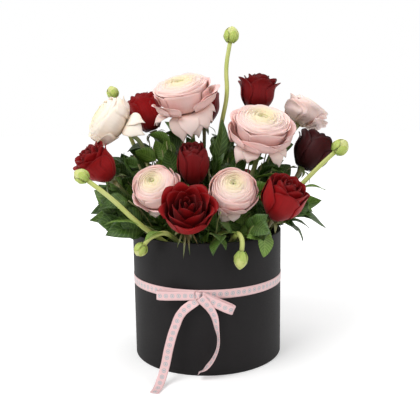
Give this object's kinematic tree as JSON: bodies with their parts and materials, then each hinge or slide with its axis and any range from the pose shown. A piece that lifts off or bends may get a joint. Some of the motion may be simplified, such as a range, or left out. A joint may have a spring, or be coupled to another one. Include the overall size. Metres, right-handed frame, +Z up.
{
  "type": "flower box",
  "caption": "Round paper-covered hat box tied with a satin ribbon, holding roses and ranunculus whose stems pull out of a wet foam insert that lifts out.",
  "frame": {"origin": "centre of the box's underside, on the table", "axes": "+Z up along the box's axis, -Y towards the front with the bow, +X to the right"},
  "size_m": [0.313, 0.2511, 0.3927],
  "materials": {
    "grey_board": "matte",
    "black_paper": "matte",
    "liner_plastic": "satin",
    "wet_foam": "matte",
    "satin_ribbon": "satin",
    "rose_petal": "satin",
    "ranunculus_petal": "satin",
    "stem_green": "satin",
    "bud_green": "satin",
    "leaf_green": "satin"
  },
  "bodies": {
    "box": {"base_board": "grey_board", "base_paper": "black_paper", "box_wall": "grey_board", "cover_paper": "black_paper", "ribbon_band": "satin_ribbon", "ribbon_knot": "satin_ribbon", "ribbon_loop_left": "satin_ribbon", "ribbon_loop_right": "satin_ribbon", "ribbon_tail_left": "satin_ribbon", "ribbon_tail_right": "satin_ribbon"},
    "insert": {"floral_foam": "wet_foam", "foliage_back_left": "leaf_green", "foliage_back_right": "leaf_green", "foliage_front": "leaf_green", "foliage_left": "leaf_green", "foliage_middle": "leaf_green", "foliage_right": "leaf_green", "liner_pot": "liner_plastic"},
    "rose_1": {"rose_1_bloom": "rose_petal", "rose_1_stem": "stem_green"},
    "rose_2": {"rose_2_bloom": "rose_petal", "rose_2_stem": "stem_green"},
    "rose_3": {"rose_3_bloom": "rose_petal", "rose_3_stem": "stem_green"},
    "rose_4": {"rose_4_bloom": "rose_petal", "rose_4_stem": "stem_green"},
    "rose_5": {"rose_5_bloom": "rose_petal", "rose_5_stem": "stem_green"},
    "rose_6": {"rose_6_bloom": "rose_petal", "rose_6_stem": "stem_green"},
    "rose_7": {"rose_7_bloom": "rose_petal", "rose_7_stem": "stem_green"},
    "rose_8": {"rose_8_bloom": "rose_petal", "rose_8_stem": "stem_green"},
    "rose_9": {"rose_9_bloom": "rose_petal", "rose_9_stem": "stem_green"},
    "rose_10": {"rose_10_bloom": "rose_petal", "rose_10_stem": "stem_green"},
    "ranunculus_1": {"ranunculus_1_bloom": "ranunculus_petal", "ranunculus_1_stem": "stem_green"},
    "ranunculus_2": {"ranunculus_2_bloom": "ranunculus_petal", "ranunculus_2_stem": "stem_green"},
    "ranunculus_3": {"ranunculus_3_bloom": "ranunculus_petal", "ranunculus_3_stem": "stem_green"},
    "ranunculus_4": {"ranunculus_4_bloom": "ranunculus_petal", "ranunculus_4_stem": "stem_green"},
    "ranunculus_5": {"ranunculus_5_bloom": "ranunculus_petal", "ranunculus_5_stem": "stem_green"},
    "ranunculus_6": {"ranunculus_6_bloom": "ranunculus_petal", "ranunculus_6_stem": "stem_green"},
    "ranunculus_7": {"ranunculus_7_bloom": "ranunculus_petal", "ranunculus_7_stem": "stem_green"},
    "ranunculus_8": {"ranunculus_8_bloom": "ranunculus_petal", "ranunculus_8_stem": "stem_green"},
    "bud_1": {"bud_1": "bud_green"},
    "bud_2": {"bud_2": "bud_green"},
    "bud_3": {"bud_3": "bud_green"},
    "bud_4": {"bud_4": "bud_green"},
    "bud_5": {"bud_5": "bud_green"},
    "bud_6": {"bud_6": "bud_green"}
  },
  "joints": [
    {"name": "insert_lift", "type": "slide", "parent": "box", "child": "insert", "axis": [0, 0, 1], "range_m": [0, 0.155]},
    {"name": "rose_1_pull", "type": "slide", "parent": "insert", "child": "rose_1", "axis": [-0.5566, -0.1136, 0.823], "range_m": [0, 0.04]},
    {"name": "rose_2_pull", "type": "slide", "parent": "insert", "child": "rose_2", "axis": [-0.1991, 0.1377, 0.9703], "range_m": [0, 0.04]},
    {"name": "rose_3_pull", "type": "slide", "parent": "insert", "child": "rose_3", "axis": [-0.1094, -0.5571, 0.8232], "range_m": [0, 0.04]},
    {"name": "rose_4_pull", "type": "slide", "parent": "insert", "child": "rose_4", "axis": [-0.2652, -0.7373, 0.6213], "range_m": [0, 0.04]},
    {"name": "rose_5_pull", "type": "slide", "parent": "insert", "child": "rose_5", "axis": [0.2861, 0.1318, 0.9491], "range_m": [0, 0.04]},
    {"name": "rose_6_pull", "type": "slide", "parent": "insert", "child": "rose_6", "axis": [0.5406, -0.1183, 0.8329], "range_m": [0, 0.04]},
    {"name": "rose_7_pull", "type": "slide", "parent": "insert", "child": "rose_7", "axis": [0.6578, -0.3637, 0.6595], "range_m": [0, 0.04]},
    {"name": "rose_8_pull", "type": "slide", "parent": "insert", "child": "rose_8", "axis": [0.0709, 0.0169, 0.9973], "range_m": [0, 0.04]},
    {"name": "rose_9_pull", "type": "slide", "parent": "insert", "child": "rose_9", "axis": [-0.4635, 0.3567, 0.8111], "range_m": [0, 0.04]},
    {"name": "rose_10_pull", "type": "slide", "parent": "insert", "child": "rose_10", "axis": [0.2012, 0.0293, 0.9791], "range_m": [0, 0.04]},
    {"name": "ranunculus_1_pull", "type": "slide", "parent": "insert", "child": "ranunculus_1", "axis": [0.0371, 0.1006, 0.9942], "range_m": [0, 0.04]},
    {"name": "ranunculus_2_pull", "type": "slide", "parent": "insert", "child": "ranunculus_2", "axis": [-0.2336, 0.0121, 0.9723], "range_m": [0, 0.04]},
    {"name": "ranunculus_3_pull", "type": "slide", "parent": "insert", "child": "ranunculus_3", "axis": [-0.2321, 0.1119, 0.9662], "range_m": [0, 0.04]},
    {"name": "ranunculus_4_pull", "type": "slide", "parent": "insert", "child": "ranunculus_4", "axis": [0.3609, 0.0752, 0.9296], "range_m": [0, 0.04]},
    {"name": "ranunculus_5_pull", "type": "slide", "parent": "insert", "child": "ranunculus_5", "axis": [0.3696, -0.2194, 0.9029], "range_m": [0, 0.04]},
    {"name": "ranunculus_6_pull", "type": "slide", "parent": "insert", "child": "ranunculus_6", "axis": [0.498, 0.0873, 0.8628], "range_m": [0, 0.04]},
    {"name": "ranunculus_7_pull", "type": "slide", "parent": "insert", "child": "ranunculus_7", "axis": [-0.1346, 0.1927, 0.972], "range_m": [0, 0.04]},
    {"name": "ranunculus_8_pull", "type": "slide", "parent": "insert", "child": "ranunculus_8", "axis": [0.5231, 0.4219, 0.7405], "range_m": [0, 0.04]},
    {"name": "bud_1_pull", "type": "slide", "parent": "insert", "child": "bud_1", "axis": [0.0854, 0.0776, 0.9933], "range_m": [0, 0.04]},
    {"name": "bud_2_pull", "type": "slide", "parent": "insert", "child": "bud_2", "axis": [0.6262, -0.1634, 0.7623], "range_m": [0, 0.04]},
    {"name": "bud_3_pull", "type": "slide", "parent": "insert", "child": "bud_3", "axis": [-0.6684, -0.4595, 0.5849], "range_m": [0, 0.04]},
    {"name": "bud_4_pull", "type": "slide", "parent": "insert", "child": "bud_4", "axis": [-0.4939, -0.6544, 0.5726], "range_m": [0, 0.04]},
    {"name": "bud_5_pull", "type": "slide", "parent": "insert", "child": "bud_5", "axis": [0.2641, -0.7443, 0.6134], "range_m": [0, 0.04]},
    {"name": "bud_6_pull", "type": "slide", "parent": "insert", "child": "bud_6", "axis": [-0.3678, 0.0817, 0.9263], "range_m": [0, 0.04]}
  ]
}
